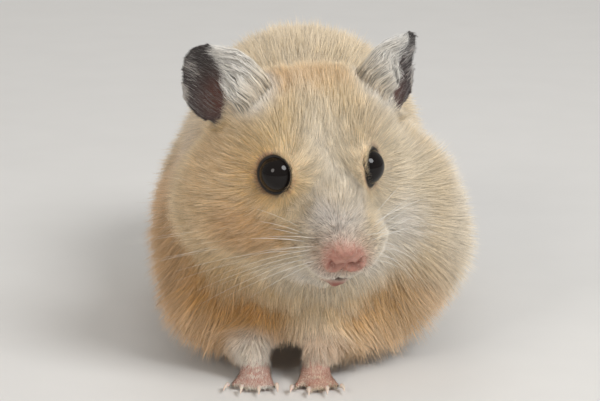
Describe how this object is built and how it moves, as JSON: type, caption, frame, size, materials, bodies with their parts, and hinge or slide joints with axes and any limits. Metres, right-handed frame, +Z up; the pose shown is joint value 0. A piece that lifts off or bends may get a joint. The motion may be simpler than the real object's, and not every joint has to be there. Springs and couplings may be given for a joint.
{
  "type": "crouching syrian hamster",
  "caption": "Life-size still model of a Syrian hamster crouching on all fours, head turned to its left, golden-cream coat, dark ears and pink nose.",
  "frame": {"origin": "on the floor, under the middle of the animal's overall box", "axes": "+Z up; the body runs along Y and faces -Y; +X is the animal's left"},
  "size_m": [0.067, 0.1246, 0.0681],
  "materials": {
    "golden_coat": "soft fur, golden",
    "pale_coat": "soft fur, pale cream",
    "pink_skin": "bare pink skin, slightly moist",
    "ear_skin": "dark thin skin with short down",
    "eye": "wet black, glossy",
    "claw": "translucent pale horn"
  },
  "bodies": {
    "root": {"head": "golden_coat", "neck": "golden_coat", "trunk": "pale_coat", "foreleg_left": "pale_coat", "foreleg_right": "pale_coat", "hindleg_left": "pale_coat", "hindleg_right": "pale_coat", "nose": "pink_skin", "tail": "pink_skin", "forepaw_left": "pink_skin", "forepaw_right": "pink_skin", "hindfoot_left": "pink_skin", "hindfoot_right": "pink_skin", "ear_left": "ear_skin", "ear_right": "ear_skin", "eye_left": "eye", "eye_right": "eye", "claw_forepaw_left_1": "claw", "claw_forepaw_left_2": "claw", "claw_forepaw_left_3": "claw", "claw_forepaw_left_4": "claw", "claw_forepaw_right_1": "claw", "claw_forepaw_right_2": "claw", "claw_forepaw_right_3": "claw", "claw_forepaw_right_4": "claw", "claw_hindfoot_left_1": "claw", "claw_hindfoot_left_2": "claw", "claw_hindfoot_left_3": "claw", "claw_hindfoot_left_4": "claw", "claw_hindfoot_left_5": "claw", "claw_hindfoot_right_1": "claw", "claw_hindfoot_right_2": "claw", "claw_hindfoot_right_3": "claw", "claw_hindfoot_right_4": "claw", "claw_hindfoot_right_5": "claw"}
  },
  "joints": []
}
